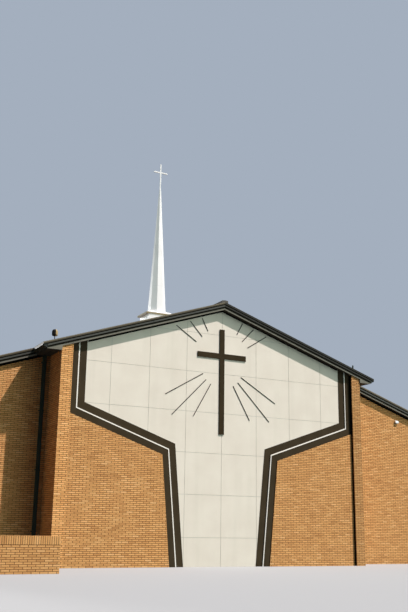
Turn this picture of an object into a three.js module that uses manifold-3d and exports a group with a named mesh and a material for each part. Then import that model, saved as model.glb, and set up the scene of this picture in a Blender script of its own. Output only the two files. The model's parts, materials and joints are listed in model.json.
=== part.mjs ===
// A modern church building of buff brick. A gabled bay with a cream panel, a wall cross and two
// piers stands before two wings, all under one pitched roof, and a white steeple stands on the ridge.
// Millimetres, X to the right, Y into the building, Z up. The origin is on the ground, at the
// middle of the panel's face.

import * as THREE from "three";
import { mergeVertices } from "three/addons/utils/BufferGeometryUtils.js";
import Module from "manifold-3d";

const wasm = await Module();
wasm.setup();

// Between pieces that touch
const gap = 0.3;

const sides = [["right", 1], ["left", -1]];

// Roof: rise over run, and each layer's height over the ground at the ridge line
const pitch = 1 / 3;
const shingleTop = 11920;
const deckTop = 11830;
const fasciaFoot = 11645;
const wallTop = 11565;

// Walls: half widths from the middle, and depths from the panel's face
const wallThickness = 300;
const bayHalf = 7770;
const pierInner = 7280;
const pierFront = -200;
const veneer = 100;
const frontWallBack = 350;
const wingFront = 1430;
const mainHalf = 15240;
const backFace = 25810;

// Gable overhangs, out from the roof deck's end
const bayDeckFront = -235;
const mainDeckFront = 1265;
const mainDeckBack = 25960;
const fasciaOut = 40;
const trimOut = 25;
const shingleOut = 70;

// Boxed eaves along the sides, with a gutter outside each
const eaveReach = 650;
const eaveDepth = 225;
const dripReach = 195;
const gutter = { width: 215, depth: 120, step: 70, riser: 40, lip: 15, lipFoot: 75, lipTop: 90 };

// The panel's right edge, X and Z, from its shoulder under the eave down to its foot
const shoulder = [6590, 6714];
const waist = [2306, 5210];
const foot = [1808, 0];

// Bands beside the panel: how far each reaches from its edge, and stands out from its face
const innerBandEdge = 335;
const stripEdge = 385;
const outerBandEdge = pierInner - shoulder[0];
const innerBandProud = 12;
const stripProud = 50;
const outerBandProud = 62;
const brickProud = 85;

// Joints and rays on the panel, laid out a little right of its middle
const patternX = 20;
const jointSpacing = 1828.8;
const lowestJoint = 1219.2;
const jointWidth = 14;
const jointDepth = 8;
const jointsAside = 3;
const burstHeight = 9060;
const rayWidth = 34;
const rayProud = 15;
const rays = [
  { degrees: 32.4, from: 1610, to: 2835 },
  { degrees: 46.8, from: 1555, to: 2460 },
  { degrees: 61.8, from: 1625, to: 2280 },
  { degrees: -30.4, from: 1155, to: 3325 },
  { degrees: -45.5, from: 1190, to: 3605 },
  { degrees: -60.4, from: 1185, to: 2965 },
];

// Crosses
const wallCross = { foot: 5745, top: 10643, arm: 9370, reach: 1270, width: 250, depth: 40 };
const spireCross = { foot: 20500, top: 22090, arm: 21580, reach: 420, width: 64, depth: 64 };

// Steeple
const steepleY = 7670;
const base = { across: 720, along: 610 };
const skirt = { across: 875, along: 640, foot: 12925, edge: 85, neck: 520 };
const spireFoot = 13125;
const spireAcross = 915;
const spireTipAcross = 100;
const collar = { out: 22, height: 90, slope: 25 };
const spireSides = 8;

// Ridge cap, an upright-sided vent along the ridge
const cap = { half: 155, top: 12000, edge: 11985, front: -295, back: 26020 };

// Fittings on the roof and walls
const flue = { x: -7910, y: 500, pipe: 18, foot: 9530, top: 9805, turns: 8 };
const cowl = { radius: 132, footRadius: 105, topRadius: 80, chamfer: 45, slope: 75 };
const ventPipe = { x: 7850, y: 400, pipe: 38, top: 9790, collar: 110, rise: 70, turns: 12 };
const flashingBelow = 200;
const cutBelow = 600;
const light = { x: 11375, z: 7240, width: 200, height: 120, depth: 110, chamfer: 40 };
const bayLeader = { x: 8035, width: 150, depth: 110 };
const sideLeader = { width: 130, depth: 90, places: [5200, 22400] };
const leaderFoot = 90;
const shoe = { reach: 150, height: 110, throat: 220 };

// Forecourt wall on the left
const forecourt = { front: -4000, end: -8590, thickness: 300, height: 1280 };

const finishes = {
  brick: { color: 0xc48e58, roughness: 0.9, metalness: 0 },
  plaster: { color: 0xd9d3c5, roughness: 0.85, metalness: 0 },
  darkBand: { color: 0x3b332e, roughness: 0.6, metalness: 0.1 },
  whiteStrip: { color: 0xe6e3da, roughness: 0.6, metalness: 0 },
  darkFascia: { color: 0x34332e, roughness: 0.5, metalness: 0.3 },
  greyTrim: { color: 0x8f8a7e, roughness: 0.6, metalness: 0.1 },
  roofDeck: { color: 0x6b5f50, roughness: 0.9, metalness: 0 },
  shingle: { color: 0x8f7b62, roughness: 0.95, metalness: 0 },
  darkMetal: { color: 0x2a2d28, roughness: 0.5, metalness: 0.4 },
  whitePaint: { color: 0xf0f0ec, roughness: 0.5, metalness: 0 },
};

// Height of a roof layer over the point x
function roofAt(layer, x) {
  return layer - Math.abs(x) * pitch;
}

function shapeOf(outline) {
  return new THREE.Shape(outline.map(([a, b]) => new THREE.Vector2(a, b)));
}

// Solid on an outline of X and Y, its foot and head given as heights over x
function onPlan(outline, footOver, headOver) {
  const geometry = new THREE.ExtrudeGeometry(shapeOf(outline), { depth: 1, bevelEnabled: false });
  const points = geometry.attributes.position;
  for (let i = 0; i < points.count; i++) {
    const over = points.getZ(i) < 0.5 ? footOver : headOver;
    points.setZ(i, over(points.getX(i)));
  }
  return geometry;
}

// Solid with an outline of X and Z, between two depths Y
function onFront(outline, near, far) {
  const options = { depth: far - near, bevelEnabled: false };
  const geometry = new THREE.ExtrudeGeometry(shapeOf(outline), options);
  geometry.rotateX(Math.PI / 2);
  geometry.translate(0, far, 0);
  return geometry;
}

// Solid with an outline of Y and Z, between two places X
function onSide(outline, near, far) {
  const options = { depth: far - near, bevelEnabled: false };
  const geometry = new THREE.ExtrudeGeometry(shapeOf(outline), options);
  geometry.rotateX(Math.PI / 2);
  geometry.rotateZ(Math.PI / 2);
  geometry.translate(near, 0, 0);
  return geometry;
}

// Solid of a few flat sides about the Z axis, from a profile of radius and height
function turned(profile, count, turn) {
  const points = profile.map(([radius, height]) => new THREE.Vector2(radius, height));
  const geometry = new THREE.LatheGeometry(points, count, turn);
  geometry.rotateX(Math.PI / 2);
  return geometry;
}

function rectangle(x0, x1, z0, z1) {
  return [[x0, z0], [x1, z0], [x1, z1], [x0, z1]];
}

// Right side's outline, or the left side's where sign is -1
function toSide(outline, sign) {
  return outline.map(([x, other]) => [x * sign, other]);
}

// Outline that is alike on both sides, from its right half listed from the middle's top to its foot
function both(half) {
  const left = half.filter(([x]) => x > 0).reverse();
  return [...half, ...toSide(left, -1)];
}

function toSolid(geometry) {
  const bare = geometry.clone();
  bare.deleteAttribute("normal");
  bare.deleteAttribute("uv");
  const merged = mergeVertices(bare, 1e-3);
  const vertProperties = new Float32Array(merged.attributes.position.array);
  const triVerts = new Uint32Array(merged.index.array);
  return new wasm.Manifold(new wasm.Mesh({ numProp: 3, vertProperties, triVerts }));
}

function toGeometry(solid) {
  const made = solid.getMesh();
  const geometry = new THREE.BufferGeometry();
  geometry.setAttribute("position", new THREE.BufferAttribute(made.vertProperties, 3));
  geometry.setIndex(new THREE.BufferAttribute(made.triVerts, 1));
  geometry.computeVertexNormals();
  return geometry;
}

function place(group, name, geometry, finish) {
  const mesh = new THREE.Mesh(geometry, new THREE.MeshStandardMaterial(finish));
  mesh.name = name;
  group.add(mesh);
  return mesh;
}

// Line through two points, moved outwards from the panel
function movedOut([ax, az], [bx, bz], distance) {
  const length = Math.hypot(bx - ax, bz - az);
  const outX = (-(bz - az) / length) * distance;
  const outZ = ((bx - ax) / length) * distance;
  return [[ax + outX, az + outZ], [bx + outX, bz + outZ]];
}

function crossing([[ax, az], [bx, bz]], [[cx, cz], [dx, dz]]) {
  const turn = (bx - ax) * (dz - cz) - (bz - az) * (dx - cx);
  const along = ((cx - ax) * (dz - cz) - (cz - az) * (dx - cx)) / turn;
  return [ax + along * (bx - ax), az + along * (bz - az)];
}

// The panel's right edge moved outwards, from the wall's top to the ground
function panelEdge(distance) {
  const side = shoulder[0] + distance;
  const upright = [[side, wallTop], [side, 0]];
  const slope = movedOut(shoulder, waist, distance);
  const leg = movedOut(waist, foot, distance);
  const ground = [[0, 0], [bayHalf, 0]];
  const top = [side, roofAt(wallTop, side) - gap];
  return [top, crossing(upright, slope), crossing(slope, leg), crossing(leg, ground)];
}

function bandOutline(from, to) {
  return [...panelEdge(from), ...panelEdge(to).reverse()];
}

function panelGeometry() {
  const outline = both([[0, wallTop - gap], ...panelEdge(0)]);
  let panel = toSolid(onFront(outline, 0, veneer));
  for (let k = -jointsAside; k <= jointsAside; k++) {
    const x = patternX + k * jointSpacing;
    const joint = rectangle(x - jointWidth / 2, x + jointWidth / 2, -gap, wallTop);
    panel = panel.subtract(toSolid(onFront(joint, -gap, jointDepth)));
  }
  for (let z = lowestJoint; z < wallTop; z += jointSpacing) {
    const joint = rectangle(-bayHalf, bayHalf, z - jointWidth / 2, z + jointWidth / 2);
    panel = panel.subtract(toSolid(onFront(joint, -gap, jointDepth)));
  }
  for (const ray of rays) {
    for (const degrees of [ray.degrees, 180 - ray.degrees]) {
      const bar = onFront(
        rectangle(ray.from, ray.to, -rayWidth / 2, rayWidth / 2),
        -rayProud,
        2 * jointDepth,
      );
      bar.rotateY(-THREE.MathUtils.degToRad(degrees));
      bar.translate(patternX, 0, burstHeight);
      panel = panel.add(toSolid(bar));
    }
  }
  return toGeometry(panel);
}

function crossOutline({ foot: low, top, arm, reach, width }) {
  const half = width / 2;
  return both([
    [half, top],
    [half, arm + half],
    [reach, arm + half],
    [reach, arm - half],
    [half, arm - half],
    [half, low],
  ]);
}

// Front bay: panel, bands, brick beside the bands, and the wall behind them
function frontBay() {
  const group = new THREE.Group();
  const edge = pierInner - gap;
  const backing = both([[0, wallTop - gap], [edge, roofAt(wallTop, edge) - gap], [edge, 0]]);
  place(group, "front_wall", onFront(backing, veneer + gap, frontWallBack), finishes.brick);
  place(group, "front_panel", panelGeometry(), finishes.plaster);

  const slope = movedOut(shoulder, waist, outerBandEdge + gap);
  const pierLine = [[edge, wallTop], [edge, 0]];
  const [, , low, ground] = panelEdge(outerBandEdge + gap);
  const infill = [crossing(slope, pierLine), low, ground, [edge, 0]];
  const inner = bandOutline(gap, innerBandEdge);
  const strip = bandOutline(innerBandEdge + gap, stripEdge);
  const outer = bandOutline(stripEdge + gap, outerBandEdge - gap);
  for (const [side, sign] of sides) {
    const beside = (outline, proud) => onFront(toSide(outline, sign), -proud, veneer);
    place(group, `inner_band_${side}`, beside(inner, innerBandProud), finishes.darkBand);
    place(group, `white_strip_${side}`, beside(strip, stripProud), finishes.whiteStrip);
    place(group, `outer_band_${side}`, beside(outer, outerBandProud), finishes.darkBand);
    place(group, `front_brick_${side}`, beside(infill, brickProud), finishes.brick);
  }

  const cross = onFront(crossOutline(wallCross), -wallCross.depth, -gap);
  place(group, "wall_cross", cross, finishes.darkBand);
  return group;
}

// Brick walls up to the roof deck, with each pier bonded to the wall that returns behind it
function brickWalls() {
  const group = new THREE.Group();
  const ground = () => 0;
  const underDeck = (x) => roofAt(wallTop, x) - gap;
  const returnInner = bayHalf - wallThickness;
  const wingBack = wingFront + wallThickness;
  const backInner = backFace - wallThickness;
  const pier = [
    [pierInner, pierFront],
    [bayHalf, pierFront],
    [bayHalf, wingFront - gap],
    [returnInner, wingFront - gap],
    [returnInner, frontWallBack],
    [pierInner, frontWallBack],
  ];
  const wing = rectangle(returnInner, mainHalf, wingFront, wingBack);
  const flank = rectangle(mainHalf - wallThickness, mainHalf, wingBack + gap, backInner - gap);
  for (const [side, sign] of sides) {
    const wall = (outline) => onPlan(toSide(outline, sign), ground, underDeck);
    place(group, `pier_${side}`, wall(pier), finishes.brick);
    place(group, `wing_front_${side}`, wall(wing), finishes.brick);
    place(group, `side_wall_${side}`, wall(flank), finishes.brick);
  }
  const back = both([[0, wallTop - gap], [mainHalf, underDeck(mainHalf)], [mainHalf, 0]]);
  place(group, "back_wall", onFront(back, backInner, backFace), finishes.brick);
  return group;
}

// Roof deck and shingles, one slope on each side, and the cap over the ridge
function roofSlopes() {
  const group = new THREE.Group();
  const seam = gap / 2;
  const notch = bayHalf + eaveReach + gap;
  const deck = [
    [seam, bayDeckFront],
    [bayHalf, bayDeckFront],
    [bayHalf, wingFront],
    [notch, wingFront],
    [notch, mainDeckFront],
    [mainHalf, mainDeckFront],
    [mainHalf, mainDeckBack],
    [seam, mainDeckBack],
  ];
  const bayDrip = bayHalf + eaveReach + dripReach;
  const mainDrip = mainHalf + eaveReach + dripReach;
  const cover = [
    [seam, bayDeckFront - shingleOut],
    [bayDrip, bayDeckFront - shingleOut],
    [bayDrip, mainDeckFront - shingleOut],
    [mainDrip, mainDeckFront - shingleOut],
    [mainDrip, mainDeckBack + shingleOut],
    [seam, mainDeckBack + shingleOut],
  ];
  const layer = (height, lift) => (x) => roofAt(height, x) + lift;
  for (const [side, sign] of sides) {
    const deckSolid = onPlan(toSide(deck, sign), layer(wallTop, 0), layer(deckTop, -gap));
    const coverSolid = onPlan(toSide(cover, sign), layer(deckTop, 0), layer(shingleTop, 0));
    place(group, `roof_deck_${side}`, deckSolid, finishes.roofDeck);
    place(group, `roof_shingles_${side}`, coverSolid, finishes.shingle);
  }
  const onShingles = (x) => roofAt(shingleTop, x) + gap;
  const vent = both([
    [0, cap.top],
    [cap.half, cap.edge],
    [cap.half, onShingles(cap.half)],
    [0, onShingles(0)],
  ]);
  place(group, "ridge_cap", onFront(vent, cap.front, cap.back), finishes.shingle);
  return group;
}

// Height of the boxed eave's soffit beside a wall face
function soffitAt(half) {
  return roofAt(deckTop, half + eaveReach) - eaveDepth;
}

// Right end of a fascia, cut upright over the end of the boxed eave
function fasciaEnd(half) {
  const reach = half + eaveReach;
  return [[reach, roofAt(deckTop, reach) - gap], [reach, roofAt(fasciaFoot, reach)]];
}

// Right end of a trim board, which closes the end of the boxed eave
function trimEnd(half) {
  const reach = half + eaveReach;
  return [
    [reach, roofAt(fasciaFoot, reach) - gap],
    [reach, soffitAt(half)],
    [half, soffitAt(half)],
    [half, roofAt(wallTop, half)],
  ];
}

// Fascia and trim boards along the gables, each a pair of slopes before the bay and at the back
function gableBoards() {
  const group = new THREE.Group();
  const fascia = (half) => both([[0, deckTop - gap], ...fasciaEnd(half), [0, fasciaFoot]]);
  const trim = (half) => both([[0, fasciaFoot - gap], ...trimEnd(half), [0, wallTop]]);
  const bayEnd = bayDeckFront - gap;
  const backEnd = mainDeckBack + gap;
  const bayFascia = onFront(fascia(bayHalf), bayDeckFront - fasciaOut, bayEnd);
  const bayTrim = onFront(trim(bayHalf), bayDeckFront - trimOut, bayEnd);
  const backFascia = onFront(fascia(mainHalf), backEnd, mainDeckBack + fasciaOut);
  const backTrim = onFront(trim(mainHalf), backEnd, mainDeckBack + trimOut);
  place(group, "bay_fascia", bayFascia, finishes.darkFascia);
  place(group, "bay_trim", bayTrim, finishes.greyTrim);
  place(group, "back_fascia", backFascia, finishes.darkFascia);
  place(group, "back_trim", backTrim, finishes.greyTrim);

  const start = bayHalf + eaveReach + gap;
  const wingEnd = mainDeckFront - gap;
  const startAt = (layer) => [start, roofAt(layer, start)];
  const wingFascia = [
    [start, roofAt(deckTop, start) - gap],
    ...fasciaEnd(mainHalf),
    startAt(fasciaFoot),
  ];
  const wingTrim = [
    [start, roofAt(fasciaFoot, start) - gap],
    ...trimEnd(mainHalf),
    startAt(wallTop),
  ];
  for (const [side, sign] of sides) {
    const board = (outline, out) => onFront(toSide(outline, sign), mainDeckFront - out, wingEnd);
    place(group, `wing_fascia_${side}`, board(wingFascia, fasciaOut), finishes.darkFascia);
    place(group, `wing_trim_${side}`, board(wingTrim, trimOut), finishes.greyTrim);
  }
  return group;
}

function eaveOutline(half) {
  const reach = half + eaveReach;
  return [
    [half + gap, soffitAt(half)],
    [reach, soffitAt(half)],
    [reach, roofAt(deckTop, reach) - gap],
    [half + gap, roofAt(deckTop, half) - gap],
  ];
}

// Gutter with a flat back, a front that leans out, and a cover that follows the roof
function gutterOutline(half) {
  const back = half + eaveReach + gap;
  const front = half + eaveReach + gutter.width;
  const top = (x) => roofAt(deckTop, x) - gap;
  const low = top(front) - gutter.depth;
  return [
    [back, top(back)],
    [back, low],
    [back + gutter.step, low],
    [back + gutter.step + gutter.lip, low + gutter.riser],
    [front - gutter.lip, low + gutter.lipFoot],
    [front, low + gutter.lipTop],
    [front, top(front)],
  ];
}

function sideEaves() {
  const group = new THREE.Group();
  const bayGutterEnd = mainDeckFront - shingleOut - gap;
  for (const [side, sign] of sides) {
    const eave = (half, near, far) => onFront(toSide(eaveOutline(half), sign), near, far);
    const trough = (half, near, far) => onFront(toSide(gutterOutline(half), sign), near, far);
    const bayEave = eave(bayHalf, bayDeckFront, wingFront - gap);
    const mainEave = eave(mainHalf, mainDeckFront, mainDeckBack);
    const bayGutter = trough(bayHalf, bayDeckFront - fasciaOut, bayGutterEnd);
    const mainGutter = trough(mainHalf, mainDeckFront - fasciaOut, mainDeckBack + fasciaOut);
    place(group, `bay_eave_${side}`, bayEave, finishes.greyTrim);
    place(group, `main_eave_${side}`, mainEave, finishes.greyTrim);
    place(group, `bay_gutter_${side}`, bayGutter, finishes.darkMetal);
    place(group, `main_gutter_${side}`, mainGutter, finishes.darkMetal);
  }
  return group;
}

// Leader pipe seen from its side, away from the wall and up, with a shoe that throws water out
function leaderOutline(depth, top) {
  return [
    [0, top],
    [depth, top],
    [depth, leaderFoot + shoe.throat],
    [depth + shoe.reach, leaderFoot + shoe.height],
    [depth + shoe.reach, leaderFoot],
    [depth / 2, leaderFoot],
    [0, leaderFoot + shoe.height],
  ];
}

function leaders() {
  const group = new THREE.Group();
  const bayWall = wingFront - gap;
  const bayOutline = leaderOutline(bayLeader.depth, soffitAt(bayHalf) - gap);
  const towardsFront = bayOutline.map(([out, z]) => [bayWall - out, z]);
  const sideOutline = leaderOutline(sideLeader.depth, soffitAt(mainHalf) - gap);
  const towardsSide = sideOutline.map(([out, z]) => [mainHalf + gap + out, z]);
  for (const [side, sign] of sides) {
    const middle = bayLeader.x * sign;
    const half = bayLeader.width / 2;
    const bayPipe = onSide(towardsFront, middle - half, middle + half);
    place(group, `bay_leader_${side}`, bayPipe, finishes.darkMetal);
    sideLeader.places.forEach((y, index) => {
      const reach = sideLeader.width / 2;
      const pipe = onFront(toSide(towardsSide, sign), y - reach, y + reach);
      place(group, `side_leader_${side}_${index + 1}`, pipe, finishes.darkMetal);
    });
  }
  return group;
}

// Steeple about its own axis: a base astride the ridge, a hipped skirt, an eight-sided spire, a cross
function steeple() {
  const group = new THREE.Group();
  group.position.y = steepleY;
  const onShingles = (x) => roofAt(shingleTop, x) + gap;
  const overCap = cap.half + gap;
  const walls = both([
    [base.across, skirt.foot],
    [base.across, onShingles(base.across)],
    [overCap, onShingles(overCap)],
    [overCap, cap.edge + gap],
    [0, cap.top + gap],
  ]);
  const hips = (reach) => both([
    [skirt.neck, spireFoot],
    [reach, skirt.foot + skirt.edge],
    [reach, skirt.foot + gap],
  ]);
  const acrossHips = toSolid(onFront(hips(skirt.across), -skirt.along, skirt.along));
  const alongHips = toSolid(onSide(hips(skirt.along), -skirt.across, skirt.across));
  const skirtSolid = toGeometry(acrossHips.intersect(alongHips));
  const toCorner = 1 / Math.cos(Math.PI / spireSides) / 2;
  const wide = spireAcross * toCorner;
  const low = spireFoot + gap;
  const spire = [
    [0, low],
    [wide + collar.out, low],
    [wide + collar.out, low + collar.height],
    [wide, low + collar.height + collar.slope],
    [spireTipAcross * toCorner, spireCross.foot],
    [0, spireCross.foot],
  ];
  const half = spireCross.depth / 2;
  const standing = { ...spireCross, foot: spireCross.foot + gap };
  place(group, "steeple_base", onFront(walls, -base.along, base.along), finishes.whitePaint);
  place(group, "steeple_skirt", skirtSolid, finishes.whitePaint);
  place(group, "spire", turned(spire, spireSides, Math.PI / spireSides), finishes.whitePaint);
  place(group, "spire_cross", onFront(crossOutline(standing), -half, half), finishes.whitePaint);
  return group;
}

// Turned fitting that stands on the shingles at x and y, its foot cut along the slope
function onSlope(profile, { x, y, turns }, radius) {
  const fitting = turned(profile, turns, 0);
  fitting.translate(x, y, 0);
  const around = rectangle(x - radius, x + radius, y - radius, y + radius);
  const above = (lift) => (at) => roofAt(shingleTop, at) + lift;
  const below = onPlan(around, above(-cutBelow), above(gap));
  return toGeometry(toSolid(fitting).subtract(toSolid(below)));
}

function fittings() {
  const group = new THREE.Group();
  const flueRoof = roofAt(shingleTop, flue.x);
  const flueOutline = [
    [0, flueRoof - flashingBelow],
    [flue.pipe, flueRoof - flashingBelow],
    [flue.pipe, flue.foot],
    [cowl.footRadius, flue.foot],
    [cowl.radius, flue.foot + cowl.chamfer],
    [cowl.radius, flue.top - cowl.slope],
    [cowl.topRadius, flue.top],
    [0, flue.top],
  ];
  const ventRoof = roofAt(shingleTop, ventPipe.x);
  const ventOutline = [
    [0, ventRoof - flashingBelow],
    [ventPipe.collar, ventRoof - flashingBelow],
    [ventPipe.collar, ventRoof],
    [ventPipe.pipe, ventRoof + ventPipe.rise],
    [ventPipe.pipe, ventPipe.top],
    [0, ventPipe.top],
  ];
  const flueSolid = onSlope(flueOutline, flue, 2 * cowl.radius);
  const ventSolid = onSlope(ventOutline, ventPipe, 2 * ventPipe.collar);
  place(group, "roof_flue", flueSolid, finishes.darkMetal);
  place(group, "vent_pipe", ventSolid, finishes.darkMetal);

  const low = light.z - light.height / 2;
  const high = light.z + light.height / 2;
  const front = wingFront - light.depth;
  const body = [
    [wingFront - gap, low],
    [front, low],
    [front, high - light.chamfer],
    [front + light.chamfer, high],
    [wingFront - gap, high],
  ];
  for (const [side, sign] of sides) {
    const middle = light.x * sign;
    const solid = onSide(body, middle - light.width / 2, middle + light.width / 2);
    place(group, `wall_light_${side}`, solid, finishes.whitePaint);
  }
  return group;
}

// Low wall before the left wing, with a return that joins it to the wing's outer corner
function forecourtWall() {
  const group = new THREE.Group();
  const back = forecourt.front + forecourt.thickness;
  const inner = -mainHalf + forecourt.thickness;
  const outline = [
    [-mainHalf, forecourt.front],
    [forecourt.end, forecourt.front],
    [forecourt.end, back],
    [inner, back],
    [inner, wingFront - gap],
    [-mainHalf, wingFront - gap],
  ];
  const solid = onPlan(outline, () => 0, () => forecourt.height);
  place(group, "forecourt_wall", solid, finishes.brick);
  return group;
}

const church = new THREE.Group();
church.add(frontBay(), brickWalls(), roofSlopes(), gableBoards(), sideEaves());
church.add(leaders(), steeple(), fittings(), forecourtWall());

export default church;
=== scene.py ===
import bmesh
import bpy
import json
import math
import random
from mathutils import Matrix, Vector

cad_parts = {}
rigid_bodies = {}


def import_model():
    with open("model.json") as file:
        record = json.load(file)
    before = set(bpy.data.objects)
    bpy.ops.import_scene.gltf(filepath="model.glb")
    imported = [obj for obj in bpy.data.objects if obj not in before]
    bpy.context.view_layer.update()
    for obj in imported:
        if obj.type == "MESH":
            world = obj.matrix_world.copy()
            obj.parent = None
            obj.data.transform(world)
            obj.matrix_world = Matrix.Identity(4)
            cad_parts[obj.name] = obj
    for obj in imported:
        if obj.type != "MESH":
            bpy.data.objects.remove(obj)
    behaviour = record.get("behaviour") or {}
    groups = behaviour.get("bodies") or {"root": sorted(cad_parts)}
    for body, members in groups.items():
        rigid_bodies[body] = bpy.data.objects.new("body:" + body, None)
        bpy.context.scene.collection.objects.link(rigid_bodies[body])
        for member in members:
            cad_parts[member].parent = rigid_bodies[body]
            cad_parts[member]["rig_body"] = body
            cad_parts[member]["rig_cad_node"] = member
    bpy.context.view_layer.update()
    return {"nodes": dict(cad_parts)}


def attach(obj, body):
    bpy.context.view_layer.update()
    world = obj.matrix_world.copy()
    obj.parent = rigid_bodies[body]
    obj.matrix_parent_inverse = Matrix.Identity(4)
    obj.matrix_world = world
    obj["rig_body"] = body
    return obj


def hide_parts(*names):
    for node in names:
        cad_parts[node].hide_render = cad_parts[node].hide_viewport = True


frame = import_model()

nodes = frame["nodes"]
sides = {"right": 1, "left": -1}
pitch = 1 / 3
slopeAngle = math.atan(pitch)
heights = {"shingles": 11.92, "wall": 11.565}  # at the ridge line
plan = {
    "pierInner": 7.28, "pierOuter": 7.77, "pierFront": -0.2, "infillFront": -0.085, "wingFront": 1.43,
    "mainSide": 15.24, "back": 25.81, "frontEdge": -0.305, "wingEdge": 1.195, "backEdge": 26.03,
    "bayDrip": 8.615, "mainDrip": 16.085, "capHalf": 0.156, "steeple": 7.67,
}


def roofAt(layer, x):  # height of a roof layer over the point x
    return heights[layer] - abs(x) * pitch


# Modelling by operators

def objectMode():
    if bpy.context.mode != "OBJECT":
        bpy.ops.object.mode_set(mode="OBJECT")


def deselectAll():
    objectMode()
    bpy.ops.object.select_all(action="DESELECT")


def pick(*objects):
    deselectAll()
    for item in objects:
        item.select_set(True)
    bpy.context.view_layer.objects.active = objects[0]


def editMode(obj):
    pick(obj)
    bpy.ops.object.mode_set(mode="EDIT")


def settle(obj):  # the place goes into the mesh
    pick(obj)
    bpy.ops.object.transform_apply(location=True, rotation=True, scale=True)


def selectFaces(test):
    mesh = bmesh.from_edit_mesh(bpy.context.object.data)
    bpy.ops.mesh.select_mode(type="FACE")
    for face in mesh.faces:
        face.select_set(False)
    for face in mesh.faces:
        if test(face):
            face.select_set(True)
    bmesh.update_edit_mesh(bpy.context.object.data)


def selectVertices(test):
    bpy.ops.mesh.select_mode(type="VERT")
    mesh = bmesh.from_edit_mesh(bpy.context.object.data)
    for face in mesh.faces:
        face.select_set(False)
    for vertex in mesh.verts:
        vertex.select_set(test(vertex.co))
    mesh.select_flush_mode()
    bmesh.update_edit_mesh(bpy.context.object.data)


def addBox(name, low, high):
    deselectAll()
    middle = [(a + b) / 2 for a, b in zip(low, high)]
    size = [b - a for a, b in zip(low, high)]
    bpy.ops.mesh.primitive_cube_add(size=1, location=middle, scale=size)
    obj = bpy.context.object
    obj.name = name
    settle(obj)
    return obj


def repeat(obj, count, offset):
    pick(obj)
    array = obj.modifiers.new("Array", "ARRAY")
    array.count = count
    array.use_relative_offset = False
    array.use_constant_offset = True
    array.constant_offset_displace = offset
    bpy.ops.object.modifier_apply(modifier=array.name)


def bevelEdges(obj, width):
    pick(obj)
    bevel = obj.modifiers.new("Bevel", "BEVEL")
    bevel.width = width
    bevel.segments = 1
    bevel.limit_method = "ANGLE"
    bpy.ops.object.modifier_apply(modifier=bevel.name)


def cutOff(obj, cuts, fill=True):  # each cut is a point and the direction that is taken away
    editMode(obj)
    for point, outwards in cuts:
        bpy.ops.mesh.select_all(action="SELECT")
        bpy.ops.mesh.bisect(plane_co=point, plane_no=outwards, use_fill=fill, clear_outer=True)
    objectMode()


def tintEach(obj, perPiece, seed):  # one number for each repeated piece, for its colour
    draws = random.Random(seed)
    values = []
    for piece in range(len(obj.data.vertices) // perPiece):
        values += [draws.random()] * perPiece
    obj.data.attributes.new("tint", "FLOAT", "POINT").data.foreach_set("value", values)


def join(name, objects):
    pick(*objects)
    if len(objects) > 1:
        bpy.ops.object.join()
    objects[0].name = name
    objects[0].data.name = name
    return objects[0]


def finishPiece(obj, paint, replaced=()):  # the building is one body, so all ride on it
    deselectAll()
    obj.data.materials.clear()
    obj.data.materials.append(paint)
    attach(obj, "root")
    for node in replaced:
        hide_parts(node)


# Shader maths

class Wire:  # a socket that Python's operators build on
    def __init__(self, paint, socket):
        self.paint = paint
        self.socket = socket

    def maths(self, operation, *values):
        return self.paint.add("ShaderNodeMath", {"operation": operation}, dict(enumerate(values)))

    def __add__(self, other):
        return self.maths("ADD", self, other)

    def __radd__(self, other):
        return self.maths("ADD", other, self)

    def __sub__(self, other):
        return self.maths("SUBTRACT", self, other)

    def __rsub__(self, other):
        return self.maths("SUBTRACT", other, self)

    def __mul__(self, other):
        return self.maths("MULTIPLY", self, other)

    def __rmul__(self, other):
        return self.maths("MULTIPLY", other, self)

    def __gt__(self, other):
        return self.maths("GREATER_THAN", self, other)

    def __lt__(self, other):
        return self.maths("LESS_THAN", self, other)

    def __abs__(self):
        return self.maths("ABSOLUTE", self)

    def wrap(self, other):  # what is left over after whole steps of the other
        return self.maths("FLOORED_MODULO", self, other)


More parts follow.
